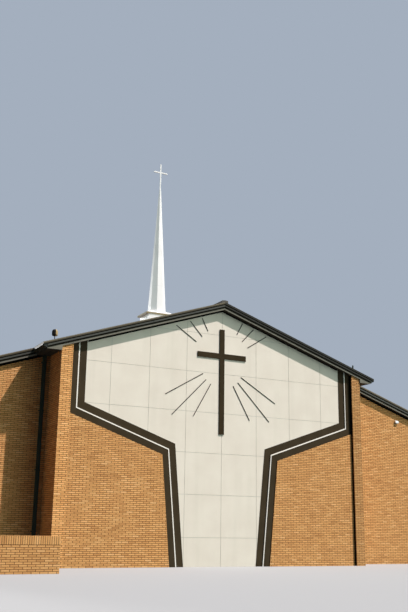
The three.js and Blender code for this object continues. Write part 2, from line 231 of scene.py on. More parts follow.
class Paint:  # a material and its nodes
    def __init__(self, name, roughness=0.8, coat=0.0, gloss=0.5):
        self.material = bpy.data.materials.new(name)
        self.material.use_nodes = True
        self.tree = self.material.node_tree
        self.surface = self.tree.nodes["Principled BSDF"]
        self.surface.inputs["Roughness"].default_value = roughness
        self.surface.inputs["Coat Weight"].default_value = coat
        self.surface.inputs["Specular IOR Level"].default_value = gloss
        place = self.tree.nodes.new("ShaderNodeTexCoord").outputs["Object"]
        self.place = Wire(self, place)

    def add(self, kind, settings=None, values=None, output=0):  # values or links, by socket
        node = self.tree.nodes.new(kind)
        for name, value in (settings or {}).items():
            if name == "stops":
                self.setStops(node.color_ramp, value)
            else:
                setattr(node, name, value)
        for name, value in (values or {}).items():
            if isinstance(value, Wire):
                self.tree.links.new(value.socket, node.inputs[name])
            else:
                node.inputs[name].default_value = value
        return Wire(self, node.outputs[output])

    def setStops(self, ramp, stops):
        while len(ramp.elements) < len(stops):
            ramp.elements.new(0.5)
        for element, (position, colour) in zip(ramp.elements, stops):
            element.position = position
            element.color = (*colour, 1)

    def axis(self, name):
        return self.add("ShaderNodeSeparateXYZ", None, {0: self.place}, name)

    def noise(self, scale, detail, stretch=(1, 1, 1)):
        spread = self.add("ShaderNodeMapping", None, {0: self.place, 3: stretch})
        return self.add("ShaderNodeTexNoise", None, {"Vector": spread, "Scale": scale, "Detail": detail})

    def ramp(self, factor, stops):
        return self.add("ShaderNodeValToRGB", {"stops": stops}, {0: factor})

    def fromTo(self, value, low, high, atLow, atHigh):
        values = {"Value": value, 1: low, 2: high, 3: atLow, 4: atHigh}
        return self.add("ShaderNodeMapRange", None, values)

    def cloud(self, scale, detail, low=0.35, high=0.65, least=0.0, most=1.0, stretch=(1, 1, 1)):
        return self.fromTo(self.noise(scale, detail, stretch), low, high, least, most)

    def mix(self, factor, first, second):
        return self.add("ShaderNodeMix", {"data_type": "RGBA"}, {0: factor, 6: first, 7: second}, 2)

    def attribute(self, name):
        return self.add("ShaderNodeAttribute", {"attribute_name": name}, None, "Fac")

    def feed(self, socket, wire):
        self.tree.links.new(wire.socket, self.surface.inputs[socket])

    def bump(self, height, distance, strength=1.0):
        values = {"Height": height, "Distance": distance, "Strength": strength}
        self.feed("Normal", self.add("ShaderNodeBump", None, values))


def linear(value):  # a screen value of 0 to 255
    share = value / 255
    return share / 12.92 if share <= 0.04045 else ((share + 0.055) / 1.055) ** 2.4


def rgb(red, green, blue):
    return linear(red), linear(green), linear(blue)


def rgba(red, green, blue):
    return (*rgb(red, green, blue), 1)


# Camera

camera = {
    "lens": 49.37, "place": (-18.297, -33.786, 1.610), "yaw": 27.147, "rise": 14.847, "roll": 0.828,
    "filmHeight": 36, "reach": 500,
}


def addCamera():
    yaw, rise, roll = (math.radians(camera[key]) for key in ("yaw", "rise", "roll"))
    level = Vector((math.cos(yaw), -math.sin(yaw), 0))
    ahead = Vector((math.sin(yaw), math.cos(yaw), 0))
    forward = ahead * math.cos(rise) + Vector((0, 0, math.sin(rise)))
    up = -ahead * math.sin(rise) + Vector((0, 0, math.cos(rise)))
    right = level * math.cos(roll) + up * math.sin(roll)
    top = up * math.cos(roll) - level * math.sin(roll)
    deselectAll()
    bpy.ops.object.camera_add()
    obj = bpy.context.object
    turned = Matrix((right, top, -forward)).transposed().to_4x4()
    obj.matrix_world = Matrix.Translation(camera["place"]) @ turned
    obj.data.sensor_fit = "VERTICAL"
    obj.data.sensor_height = camera["filmHeight"]
    obj.data.lens = camera["lens"]
    obj.data.clip_end = camera["reach"]
    bpy.context.scene.camera = obj


addCamera()
print("camera placed")


# Floor, backdrop and light

studio = {
    "floorHalf": 260, "floorPlace": (0, 10, -0.002), "floor": rgba(173, 174, 173),
    "backdrop": rgba(164, 175, 190), "air": rgba(203, 231, 252), "fromBelow": 0.05, "fromAbove": 0.17,
    "horizon": 0.15, "glow": 2.25, "glowColour": rgba(232, 255, 245), "glowFrom": 0.64,
    "glowAzimuth": 58, "glowElevation": 5, "lampsAway": 60,
    "sun": 4.86, "sunColour": (1.0, 0.925, 0.95), "softness": 0.9, "azimuth": 46.2, "elevation": 55.2,
    "rim": 1.3, "rimColour": (1, 1, 1), "rimSoftness": 10, "rimAzimuth": -168, "rimElevation": 12,
}
steepleLamp = {
    "power": 14400, "colour": (0.84, 1.0, 0.985), "azimuth": -70, "away": 30, "height": 17,
    "cone": 24, "edge": 0.4, "radius": 1.5,
}


def skyward(azimuth, elevation):  # from the front's middle towards the right, and up
    side, lift = math.radians(azimuth), math.radians(elevation)
    return Vector((math.sin(side) * math.cos(lift), -math.cos(side) * math.cos(lift), math.sin(lift)))


def addSun(name, azimuth, elevation, energy, softness, colour):
    deselectAll()
    bpy.ops.object.light_add(type="SUN", location=skyward(azimuth, elevation) * studio["lampsAway"])
    sun = bpy.context.object
    sun.name = name
    sun.rotation_euler = skyward(azimuth, elevation).to_track_quat("Z", "Y").to_euler()
    sun.data.energy = energy
    sun.data.color = colour
    sun.data.angle = math.radians(softness)


def addSteepleLamp():  # a soft spot from the left, for the steeple's shaded faces
    deselectAll()
    towards = skyward(steepleLamp["azimuth"], 0)
    middle = Vector((0, plan["steeple"], steepleLamp["height"]))
    bpy.ops.object.light_add(type="SPOT", location=middle + towards * steepleLamp["away"])
    spot = bpy.context.object
    spot.name = "steepleLight"
    spot.rotation_euler = towards.to_track_quat("Z", "Y").to_euler()
    spot.data.energy = steepleLamp["power"]
    spot.data.color = steepleLamp["colour"]
    spot.data.spot_size = math.radians(steepleLamp["cone"])
    spot.data.spot_blend = steepleLamp["edge"]
    spot.data.shadow_soft_size = steepleLamp["radius"]


def addStudio():
    deselectAll()
    bpy.ops.mesh.primitive_plane_add(size=2 * studio["floorHalf"], location=studio["floorPlace"])
    floor = bpy.context.object
    floor.name = "floor"
    paint = Paint("floorPaint", roughness=0.95)
    paint.surface.inputs["Base Color"].default_value = studio["floor"]
    floor.data.materials.append(paint.material)
    floor.visible_diffuse = False
    key = [studio[part] for part in ("azimuth", "elevation", "sun", "softness", "sunColour")]
    rim = [studio[part] for part in ("rimAzimuth", "rimElevation", "rim", "rimSoftness", "rimColour")]
    addSun("keyLight", *key)
    addSun("rimLight", *rim)
    addSteepleLamp()
    bpy.context.scene.view_settings.view_transform = "Standard"


def addAir():  # soft light from all round, most of it low on the key light's side, and a plain backdrop
    world = bpy.data.worlds.new("studioAir")
    world.use_nodes = True
    tree = world.node_tree

    def node(kind, settings, links=()):
        made = tree.nodes.new(kind)
        for name, value in settings.items():
            made.inputs[name].default_value = value
        for name, source in links:
            tree.links.new(source, made.inputs[name])
        return made

    air = tree.nodes["Background"]
    air.inputs["Color"].default_value = studio["air"]
    direction = node("ShaderNodeTexCoord", {}).outputs["Generated"]
    height = node("ShaderNodeSeparateXYZ", {}, [(0, direction)]).outputs["Z"]
    towards = skyward(studio["glowAzimuth"], studio["glowElevation"])
    aimed = node("ShaderNodeVectorMath", {1: towards}, [(0, direction)])
    aimed.operation = "DOT_PRODUCT"
    horizon = studio["horizon"]
    levels = {1: -horizon, 2: horizon, 3: studio["fromBelow"], 4: studio["fromAbove"]}
    level = node("ShaderNodeMapRange", levels, [("Value", height)]).outputs["Result"]
    glows = {1: studio["glowFrom"], 2: 1.0, 3: 0.0, 4: studio["glow"]}
    glow = node("ShaderNodeMapRange", glows, [("Value", aimed.outputs["Value"])]).outputs["Result"]
    tree.links.new(level, air.inputs["Strength"])
    glowing = node("ShaderNodeBackground", {"Color": studio["glowColour"]}, [("Strength", glow)])
    total = node("ShaderNodeAddShader", {}, [(0, air.outputs[0]), (1, glowing.outputs[0])])
    backdrop = node("ShaderNodeBackground", {"Color": studio["backdrop"]})
    seen = node("ShaderNodeLightPath", {}).outputs["Is Camera Ray"]
    links = [(0, seen), (1, total.outputs[0]), (2, backdrop.outputs[0])]
    blend = node("ShaderNodeMixShader", {}, links)
    tree.links.new(blend.outputs[0], tree.nodes["World Output"].inputs["Surface"])
    bpy.context.scene.world = world


addStudio()
addAir()
print("studio set")


# Materials: a dictionary before each holds its colours and its measures

brickwork = {  # the low wall's and the piers' faces lie before a depth each, and each has its own share of brightness
    "colours": [
        (0.0, rgb(200, 142, 83)), (0.1, rgb(211, 152, 91)), (0.5, rgb(221, 162, 98)),
        (0.9, rgb(228, 170, 106)), (1.0, rgb(236, 181, 119)),
    ],
    "speck": rgba(120, 78, 46), "lowWallFrom": -1.0, "pierFrom": -0.19,
    # painted light and shade: the left pier's face lighter and the right's darker, as if both were turned a
    # little inwards; the low wall is only darker
    "lowWall": -0.08, "leftPierLight": 0.16, "rightPierShade": -0.18,
}


def brickPaint():
    paint = Paint("buffBrick", roughness=0.9, gloss=0.3)
    x, y = paint.axis("X"), paint.axis("Y")
    lowWall = y < brickwork["lowWallFrom"]
    pierFace = (y < brickwork["pierFrom"]) * (y > brickwork["lowWallFrom"])
    left, right = brickwork["leftPierLight"], brickwork["rightPierShade"]
    # painted light and shade on the piers' faces, the low wall darker, and a faint random tone over all
    pierLightAndTone = pierFace * ((x < 0.0) * (left - right) + right) + lowWall * brickwork["lowWall"] + 1.0
    pierLightAndTone = paint.cloud(scale=0.8, detail=4, low=0.3, high=0.7, least=0.97, most=1.02) * pierLightAndTone
    base = paint.ramp(paint.attribute("tint"), brickwork["colours"])
    base = paint.add("ShaderNodeVectorMath", {"operation": "SCALE"}, {0: base, "Scale": pierLightAndTone})
    speck = paint.cloud(scale=420, detail=2, low=0.62, high=0.72, most=0.3)
    paint.feed("Base Color", paint.mix(speck, base, brickwork["speck"]))
    worn = paint.cloud(scale=60, detail=3, low=0.3, high=0.7, least=0.82, most=0.96)
    paint.feed("Roughness", worn)
    paint.bump(paint.noise(scale=180, detail=4), distance=0.0015)
    return paint.material


mortar = {"colours": [(0.3, rgb(72, 48, 29)), (0.7, rgb(92, 64, 40))]}


def mortarPaint():
    paint = Paint("mortar", roughness=0.95, gloss=0.2)
    paint.feed("Base Color", paint.ramp(paint.noise(scale=90, detail=4), mortar["colours"]))
    paint.bump(paint.noise(scale=260, detail=3), distance=0.001)
    return paint.material


stucco = {
    "dark": rgba(232, 220, 203), "light": rgba(238, 227, 210), "grain": rgba(188, 178, 156),
    "streak": rgba(205, 197, 178), "joint": rgba(196, 194, 182), "jointDepth": 0.004,
    "ray": rgba(22, 18, 14), "rayHeight": 0.003,
}


def stuccoPaint():  # joints lie behind the face, rays stand before it
    paint = Paint("creamStucco", roughness=0.85, gloss=0.3)
    y = paint.axis("Y")
    base = paint.mix(paint.cloud(scale=0.9, detail=5), stucco["dark"], stucco["light"])
    grain = paint.cloud(scale=320, detail=3, low=0.3, high=0.7, most=0.12)
    base = paint.mix(grain, base, stucco["grain"])
    streak = paint.cloud(scale=2.2, detail=4, low=0.5, high=0.75, most=0.18, stretch=(1, 1, 0.08))
    base = paint.mix(streak, base, stucco["streak"])
    base = paint.mix(y > stucco["jointDepth"], base, stucco["joint"])
    paint.feed("Base Color", paint.mix(y < -stucco["rayHeight"], base, stucco["ray"]))
    paint.bump(paint.noise(scale=320, detail=3), distance=0.0012)
    return paint.material


smooth = {"dent": 0.3, "worn": 0.08, "lap": 0.05, "lapStrength": 0.6, "lapShade": 0.5}


def smoothPaint(name, dark, light, roughness, gloss=0.25, scale=1.2, coat=0.0, length=0.0):
    # painted sheet, bare metal and glass, and near-black sheets that paint shade, all cloudy and a little
    # uneven
    paint = Paint(name, roughness=roughness, coat=coat, gloss=gloss)
    base = paint.mix(paint.cloud(scale, detail=5), (*dark, 1), (*light, 1))
    fine = paint.cloud(scale=140, detail=2, low=0.4, high=0.6, most=0.2)
    base = paint.mix(fine, base, (*dark, 1))
    relief = paint.noise(scale=70, detail=2) * smooth["dent"]
    if length:  # laps along the building
        lap = paint.axis("Y").wrap(length) < smooth["lap"]
        shade = (*(smooth["lapShade"] * value for value in dark), 1)
        base = paint.mix(lap * smooth["lapStrength"], base, shade)
        relief = relief + lap
    paint.feed("Base Color", base)
    least, most = roughness - smooth["worn"], roughness + smooth["worn"]
    paint.feed("Roughness", paint.cloud(scale=9, detail=3, low=0.3, high=0.7, least=least, most=most))
    paint.bump(relief, distance=0.002, strength=0.6)
    return paint.material


wood = {"grain": 0.3, "joint": 0.012, "jointShade": 0.25}


def woodPaint(name, dark, light, roughness, length):  # boards with butt joints along each slope
    paint = Paint(name, roughness=roughness, gloss=0.25)
    grain = paint.cloud(scale=14, detail=5, low=0.3, high=0.7, stretch=(0.12, 1, 1.4))
    base = paint.mix(grain, (*dark, 1), (*light, 1))
    joint = paint.axis("X").wrap(length) < wood["joint"]
    shade = (*(wood["jointShade"] * value for value in dark), 1)
    paint.feed("Base Color", paint.mix(joint, base, shade))
    paint.bump(grain * wood["grain"] - joint, distance=0.002, strength=0.5)
    return paint.material


soffit = {
    "dark": rgba(40, 39, 33), "light": rgba(54, 52, 45), "gap": rgba(12, 11, 9),
    "board": 0.3048, "seam": 0.006, "vent": 0.33, "ventHalf": 0.04, "slots": 0.05, "slot": 0.034,
}


def soffitPaint():  # boards across the boxed eaves, with a slotted vent strip along them
    paint = Paint("soffitBoards", roughness=0.75, gloss=0.2)
    across, y = abs(paint.axis("X")), paint.axis("Y")
    grain = paint.cloud(scale=10, detail=5, low=0.3, high=0.7, stretch=(1.4, 0.12, 1))
    base = paint.mix(grain, soffit["dark"], soffit["light"])
    seam = y.wrap(soffit["board"]) < soffit["seam"]
    slot = 0.0
    for wall in (plan["pierOuter"], plan["mainSide"]):
        middle = wall + soffit["vent"]
        slot = (abs(across - middle) < soffit["ventHalf"]) + slot
    slot = slot * (y.wrap(soffit["slots"]) < soffit["slot"])
    base = paint.mix(seam, base, soffit["gap"])
    paint.feed("Base Color", paint.mix(slot, base, soffit["gap"]))
    paint.bump(seam * -1.0 - slot, distance=0.004)
    return paint.material


roofing = {
    "colours": [
        (0.0, rgb(104, 86, 64)), (0.3, rgb(128, 107, 81)),
        (0.7, rgb(146, 124, 96)), (1.0, rgb(166, 143, 112)),
    ],
    "grain": rgba(74, 60, 46), "cloud": rgba(96, 82, 66),
}


def shinglePaint():
    paint = Paint("tanShingle", roughness=0.95)
    base = paint.ramp(paint.attribute("tint"), roofing["colours"])
    base = paint.mix(paint.cloud(scale=380, detail=2, most=0.45), base, roofing["grain"])
    cloud = paint.cloud(scale=0.5, detail=4, low=0.3, high=0.7, most=0.25)
    paint.feed("Base Color", paint.mix(cloud, base, roofing["cloud"]))
    paint.bump(paint.noise(scale=420, detail=2), distance=0.0015)
    return paint.material


ridgeVent = {
    "dark": rgba(60, 56, 49), "light": rgba(80, 75, 66), "slot": rgba(20, 19, 17),
    "rows": 0.03, "slotHigh": 0.012, "slots": 0.1, "slotLong": 0.08, "sideFrom": 0.154,
}


def ventPaint():  # slots in rows along the ridge vent's sides
    paint = Paint("ridgeVent", roughness=0.7)
    x, y, z = (paint.axis(name) for name in "XYZ")
    base = paint.mix(paint.cloud(scale=3, detail=4), ridgeVent["dark"], ridgeVent["light"])
    slot = z.wrap(ridgeVent["rows"]) < ridgeVent["slotHigh"]
    slot = slot * (y.wrap(ridgeVent["slots"]) < ridgeVent["slotLong"])
    slot = slot * (abs(x) > ridgeVent["sideFrom"])
    paint.feed("Base Color", paint.mix(slot, base, ridgeVent["slot"]))
    paint.bump(slot * -1.0, distance=0.004)
    return paint.material


enamel = {
    "dark": rgba(227, 222, 219), "light": rgba(236, 231, 228), "streak": rgba(219, 221, 219),
    "seamColour": rgba(150, 152, 152), "seamStrength": 0.25, "seam": 0.014, "sheet": 2.4384, "dent": 0.15,
}


def steeplePaint():  # enamelled sheets with lapped seams at even heights
    paint = Paint("whiteEnamel", roughness=0.4, coat=0.2)
    base = paint.mix(paint.cloud(scale=0.8, detail=5), enamel["dark"], enamel["light"])
    streak = paint.cloud(scale=3, detail=4, low=0.5, high=0.8, most=0.3, stretch=(1, 1, 0.06))
    base = paint.mix(streak, base, enamel["streak"])
    seam = paint.axis("Z").wrap(enamel["sheet"]) < enamel["seam"]
    paint.feed("Base Color", paint.mix(seam * enamel["seamStrength"], base, enamel["seamColour"]))
    relief = paint.noise(scale=60, detail=2) * enamel["dent"] + seam
    paint.bump(relief, distance=0.002, strength=0.6)
    return paint.material


edging = {
    "dark": rgba(118, 106, 86), "light": rgba(130, 118, 97), "dripShade": rgba(66, 59, 42),
    "rightSlopeShade": rgba(34, 32, 21), "lapColour": rgba(40, 38, 30), "lapStrength": 0.6, "lap": 0.03,
    "length": 3.048, "dripShadeTop": 11.885, "rightShadeFrom": 0.02, "bayTo": 0.5, "dent": 0.3,
}


def edgingPaint():  # metal over the roof's edge, with painted shade: a dark band along its foot under the shingles' edge, and darker along the bay's right slope, where the key light casts longer shadows
    paint = Paint("roofEdging", roughness=0.6, gloss=0.25)
    x, y, z = (paint.axis(name) for name in "XYZ")
    base = paint.mix(paint.cloud(scale=2, detail=5), edging["dark"], edging["light"])
    # painted shade along the foot, under the shingles' edge
    base = paint.mix(z + abs(x) * pitch < edging["dripShadeTop"], base, edging["dripShade"])
    # painted shade along the bay's right slope
    rightSlopeShade = (x > edging["rightShadeFrom"]) * (y < edging["bayTo"])
    base = paint.mix(rightSlopeShade, base, edging["rightSlopeShade"])
    lap = abs(x).wrap(edging["length"]) < edging["lap"]
    paint.feed("Base Color", paint.mix(lap * edging["lapStrength"], base, edging["lapColour"]))
    relief = paint.noise(scale=70, detail=2) * edging["dent"]
    paint.bump(lap + relief, distance=0.002, strength=0.6)
    return paint.material


flueMetal = {
    "dark": rgba(150, 128, 88), "light": rgba(176, 152, 108), "leftShade": rgba(24, 22, 20),
    "leftShadeTo": -7.9, "litFrom": -7.87, "ragged": 0.03,
}


def fluePaint():  # a tan cowl, painted black on its left side: painted shade, away from the key light
    paint = Paint("flueMetal", roughness=0.7, gloss=0.2)
    base = paint.mix(paint.cloud(scale=6, detail=4), flueMetal["dark"], flueMetal["light"])
    edge = paint.axis("X") + paint.noise(scale=9, detail=3) * flueMetal["ragged"]
    # painted shade on the cowl's left side
    leftShade = paint.fromTo(edge, flueMetal["leftShadeTo"], flueMetal["litFrom"], atLow=1.0, atHigh=0.0)
    paint.feed("Base Color", paint.mix(leftShade, base, flueMetal["leftShade"]))
    paint.bump(paint.noise(scale=80, detail=3), distance=0.001)
    return paint.material


lengths = {"fascia": 3.6576, "deck": 0.1524, "gutter": 3.048}  # from joint to joint
paints = {
    "brick": brickPaint(),
    "mortar": mortarPaint(),
    "stucco": stuccoPaint(),
    "darkBand": smoothPaint("brownBand", rgb(59, 49, 34), rgb(67, 56, 40), 0.8, gloss=0.06),
    "crossBrown": smoothPaint("crossBrown", rgb(53, 43, 27), rgb(61, 50, 33), 0.8, gloss=0.06),
    "whiteStrip": smoothPaint("whiteStrip", rgb(246, 236, 222), rgb(253, 246, 234), 0.7, gloss=0.1),
    # near black behind the fascia boards: painted shade in the recesses above and below them
    "recessShade": smoothPaint("paintedRecessShade", rgb(17, 15, 8), rgb(25, 22, 14), 0.85, gloss=0.04),
    "fascia": woodPaint("darkFascia", rgb(64, 65, 58), rgb(74, 75, 68), 0.6, lengths["fascia"]),
    # painted shade: the bay's right board darker, where the key light casts longer shadows on that slope
    "shadedRightBoard": woodPaint("shadedRightFascia", rgb(30, 30, 22), rgb(40, 40, 31), 0.7, lengths["fascia"]),
    "trim": woodPaint("greyTrim", rgb(111, 106, 93), rgb(125, 120, 106), 0.6, lengths["fascia"]),
    "deck": woodPaint("deckBoards", rgb(38, 33, 22), rgb(50, 44, 31), 0.85, lengths["deck"]),
    "eave": soffitPaint(),
    "shingle": shinglePaint(),
    "edging": edgingPaint(),
    "vent": ventPaint(),
    "darkMetal": smoothPaint("darkSheetMetal", rgb(35, 48, 40), rgb(46, 60, 51), 0.55),
    # near black, for the pier joints and the beads under the roof's boards: painted shade
    "shadeSealant": smoothPaint("darkSealantShade", rgb(14, 14, 10), rgb(20, 20, 15), 0.9, gloss=0.04),
    "gutter": smoothPaint("gutterMetal", rgb(26, 30, 25), rgb(38, 42, 36), 0.55, length=lengths["gutter"]),
    "flue": fluePaint(),
    # tan, for the strip that paints the shade and the roof's reflection under the skirt's edge
    "skirtEdge": smoothPaint("skirtEdge", rgb(128, 116, 84), rgb(144, 132, 98), 0.6),
    "lead": smoothPaint("softFlashing", rgb(92, 92, 90), rgb(112, 112, 109), 0.6),
    "white": smoothPaint("whitePaint", rgb(228, 230, 228), rgb(243, 244, 241), 0.4, 0.5, 0.8, coat=0.2),
    "lens": smoothPaint("frostedLens", rgb(214, 216, 208), rgb(228, 230, 222), 0.25, 0.5, scale=3.0),
    "steeple": steeplePaint(),
}
nodePaints = {
    "front_panel": "stucco", "wall_cross": "crossBrown", "inner_band": "darkBand", "outer_band": "darkBand",
    "white_strip": "whiteStrip", "bay_fascia": "recessShade", "back_fascia": "recessShade", "wing_fascia": "recessShade",
    "bay_trim": "trim", "back_trim": "trim", "wing_trim": "trim", "bay_eave": "eave", "main_eave": "eave",
    "roof_deck": "deck", "roof_shingles": "edging", "ridge_cap": "vent", "roof_flue": "flue",
    "vent_pipe": "darkMetal", "bay_gutter": "gutter", "main_gutter": "gutter",
    "bay_leader": "darkMetal", "side_leader": "darkMetal", "steeple": "steeple", "spire": "steeple",
    "wall_light": "white",
}
for name, node in nodes.items():
    chosen = [key for start, key in nodePaints.items() if name.startswith(start)]
    node.data.materials.clear()
    node.data.materials.append(paints[chosen[0] if chosen else "mortar"])
print("frame painted")


# Bricks: each wall face gets its own courses, proud of the mortar

brick = {
    "long": 0.3048, "course": 0.08128, "joint": 0.0145, "proud": 0.009, "arris": 0.003,
    "turn": 0.1016, "clear": 0.001,
}
panelEdge = {
    "shoulder": (6.59, 6.714), "waist": (2.306, 5.21), "foot": (1.808, 0), "bands": 0.69, "top": 6.5,
}


def modelBrick():  # a box without its back, with its face drawn in all round
    long, high = brick["long"] - brick["joint"], brick["course"] - brick["joint"]
    obj = addBox("brick", (0, -brick["proud"], 0), (long, 0, high))
    editMode(obj)
    selectFaces(lambda face: face.normal.y > 0.5)
    bpy.ops.mesh.delete(type="FACE")
    selectFaces(lambda face: face.normal.y < -0.5)
    shrink = (1 - 2 * brick["arris"] / long, 1, 1 - 2 * brick["arris"] / high)
    bpy.ops.transform.resize(value=shrink, center_override=(long / 2, -brick["proud"], high / 2))
    objectMode()
    return obj


def layBricks(name, start, turn, long, top, cuts=(), shift=0.0, seed=1, past=(0, 0)):
    # start is the face's first corner, and turn is 0 for the front, 90 right, 180 back and 270 left
    # past is 1 for an end that is an outer corner, which the face's bricks turn
    obj = modelBrick()
    perBrick = len(obj.data.vertices)
    pairs = math.ceil(top / brick["course"] / 2)  # of courses, one of them moved by half a brick
    repeat(obj, 2, (brick["long"] / 2, 0, brick["course"]))
    repeat(obj, math.ceil((long + shift) / brick["long"]) + 1, (brick["long"], 0, 0))
    repeat(obj, pairs, (0, 0, 2 * brick["course"]))
    tintEach(obj, perBrick, seed)
    obj.name = name
    obj.data.transform(Matrix.Translation((-brick["long"] / 2 - shift, 0, 0)))
    angle = math.radians(turn)
    first = Vector((*start, 0))
    obj.data.transform(Matrix.Translation(first) @ Matrix.Rotation(angle, 4, "Z"))
    along = Vector((math.cos(angle), math.sin(angle), 0))
    ends = [
        (first - along * brick["proud"] * past[0], -along),
        (first + along * (long + brick["proud"] * past[1]), along),
    ]
    if pairs * 2 * brick["course"] > top + brick["clear"]:
        ends.append(((0, 0, top), (0, 0, 1)))
    cutOff(obj, ends + list(cuts))
    return obj


def slopeCut(sign):  # under the roof deck, on the right or the left
    return ((0, 0, heights["wall"] - brick["clear"]), (sign * pitch, 0, 1))


def layWalls():
    inner, outer, side, back = (plan[key] for key in ("pierInner", "pierOuter", "mainSide", "back"))
    front, wing, infill = (plan[key] for key in ("pierFront", "wingFront", "infillFront"))
    wingTop, sideTop, pierTop = (roofAt("wall", x) for x in (outer, side, inner))
    shift, clear = brick["turn"], brick["clear"]
    for name, sign in sides.items():
        right = sign > 0
        cuts = [slopeCut(sign)]
        start, past = ((outer, wing), (0, 1)) if right else ((-side, wing), (1, 0))
        obj = layBricks(f"wing_bricks_{name}", start, 0, side - outer, wingTop, cuts, seed=11, past=past)
        finishPiece(obj, paints["brick"])
        start, turn = ((side, wing), 90) if right else ((-side, back), 270)
        obj = layBricks(f"side_bricks_{name}", start, turn, back - wing, sideTop - clear, (), shift, 12)
        finishPiece(obj, paints["brick"])
        start = (inner if right else -outer, front)
        faces = [layBricks("pier", start, 0, outer - inner, pierTop, cuts, seed=13, past=(1, 1))]
        start, turn = ((outer, front), 90) if right else ((-outer, wing), 270)
        faces.append(layBricks("pier", start, turn, wing - front, wingTop - clear, (), shift, 14))
        start, turn = ((inner, infill), 270) if right else ((-inner, front), 90)
        faces.append(layBricks("pier", start, turn, infill - front, pierTop - clear, (), shift, 15))
        finishPiece(join(f"pier_bricks_{name}", faces), paints["brick"])
    cuts = [slopeCut(1), slopeCut(-1)]
    obj = layBricks("back_bricks", (side, back), 180, 2 * side, heights["wall"], cuts, seed=16, past=(1, 1))
    finishPiece(obj, paints["brick"])


def layFrontBricks():  # from each pier to the bands, cut along the bands' outer edge
    shoulder, waist, foot, bands = (panelEdge[key] for key in ("shoulder", "waist", "foot", "bands"))
    wide = plan["pierInner"]
    for name, sign in sides.items():
        cuts = []
        for (ax, az), (bx, bz) in ((shoulder, waist), (waist, foot)):
            length = math.hypot(bx - ax, bz - az)
            outX, outZ = -(bz - az) / length, (bx - ax) / length
            point = ((ax + outX * bands) * sign, 0, az + outZ * bands)
            cuts.append((point, (-outX * sign, 0, -outZ)))
        start = (0 if sign > 0 else -wide, plan["infillFront"])
        obj = layBricks(f"front_bricks_{name}", start, 0, wide, panelEdge["top"], cuts, seed=17)
        finishPiece(obj, paints["brick"])


layWalls()
layFrontBricks()
print("walls bricked")


# The low forecourt wall: plain courses under a course of bricks on end

forecourt = {
    "front": -4.0, "back": -3.7, "end": -8.59, "inner": -14.94, "outer": -15.24, "top": 1.28,
    "soldier": 0.3048, "leaves": 3, "seed": 21, "soldierSeed": 41, "weld": 0.0001, "within": 0.01,
}


def layForecourt():  # the wall is drawn in all round, and its bricks stand proud of it
    core = nodes["forecourt_wall"].copy()
    core.data = nodes["forecourt_wall"].data.copy()
    bpy.context.collection.objects.link(core)
    core.parent = None
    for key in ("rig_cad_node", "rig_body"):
        if key in core:
            del core[key]
    inset = brick["proud"]
    editMode(core)
    bpy.ops.mesh.select_all(action="SELECT")
    bpy.ops.mesh.remove_doubles(threshold=forecourt["weld"])
    for face, axis, move in (
        ("front", 1, (0, inset, 0)), ("back", 1, (0, -inset, 0)), ("end", 0, (-inset, 0, 0)),
        ("inner", 0, (-inset, 0, 0)), ("outer", 0, (inset, 0, 0)), ("top", 2, (0, 0, -inset)),
    ):
        selectVertices(lambda p: abs(p[axis] - forecourt[face]) < forecourt["within"])
        bpy.ops.transform.translate(value=move)
    objectMode()
    core.name = "forecourt_core"
    finishPiece(core, paints["mortar"], ["forecourt_wall"])
    top = forecourt["top"] - forecourt["soldier"]
    front, back = forecourt["front"] + inset, forecourt["back"] - inset
    end, inner, outer = forecourt["end"] - inset, forecourt["inner"] - inset, forecourt["outer"] + inset
    wing = plan["wingFront"]
    runs = [
        ((outer, front), 0, end - outer), ((end, front), 90, back - front),
        ((end, back), 180, end - inner), ((inner, back), 90, wing - back),
        ((outer, wing), 270, wing - front),
    ]
    faces = []
    for seed, (start, turn, long) in enumerate(runs, forecourt["seed"]):
        faces.append(layBricks("run", start, turn, long, top, seed=seed, past=(1, 1)))
    finishPiece(join("forecourt_bricks", faces), paints["brick"])


def laySoldiers(start, turn, long, seed):  # bricks on end, three deep, that cap the wall
    count = round(long / brick["course"])
    each = long / count
    deep = (forecourt["back"] - forecourt["front"]) / forecourt["leaves"]
    half = brick["joint"] / 2
    low = (half, 0, forecourt["top"] - forecourt["soldier"] + half)
    obj = addBox("soldier", low, (each - half, deep - half, forecourt["top"]))
    bevelEdges(obj, brick["arris"])
    perPiece = len(obj.data.vertices)
    repeat(obj, forecourt["leaves"], (0, deep + half / 2, 0))
    repeat(obj, count, (each, 0, 0))
    tintEach(obj, perPiece, seed)
    obj.data.transform(Matrix.Translation((*start, 0)) @ Matrix.Rotation(math.radians(turn), 4, "Z"))
    return obj


def capForecourt():
    outer, back = forecourt["outer"], forecourt["back"]
    runs = [
        ((outer, forecourt["front"]), 0, forecourt["end"] - outer),
        ((forecourt["inner"], back), 90, plan["wingFront"] - back),
    ]
    rows = [laySoldiers(*run, seed) for seed, run in enumerate(runs, forecourt["soldierSeed"])]
    finishPiece(join("forecourt_soldiers", rows), paints["brick"])


layForecourt()
capForecourt()
print("forecourt wall laid")


# Shingles

shingle = {"wide": 0.3048, "show": 0.127, "slot": 0.006, "butt": 0.007, "head": 0.001, "seed": 31}


def modelShingle():  # thick at its butt and thin at its head, without an underside
    size = (shingle["wide"] - shingle["slot"], shingle["show"], shingle["butt"])
    obj = addBox("shingle", (0, 0, 0), size)
    editMode(obj)
    selectFaces(lambda face: face.normal.z < -0.5 or face.normal.y > 0.5)
    bpy.ops.mesh.delete(type="FACE")
    selectVertices(lambda p: p.y > shingle["show"] / 2 and p.z > shingle["butt"] / 2)
    bpy.ops.transform.translate(value=(0, 0, shingle["head"] - shingle["butt"]))
    objectMode()
    return obj


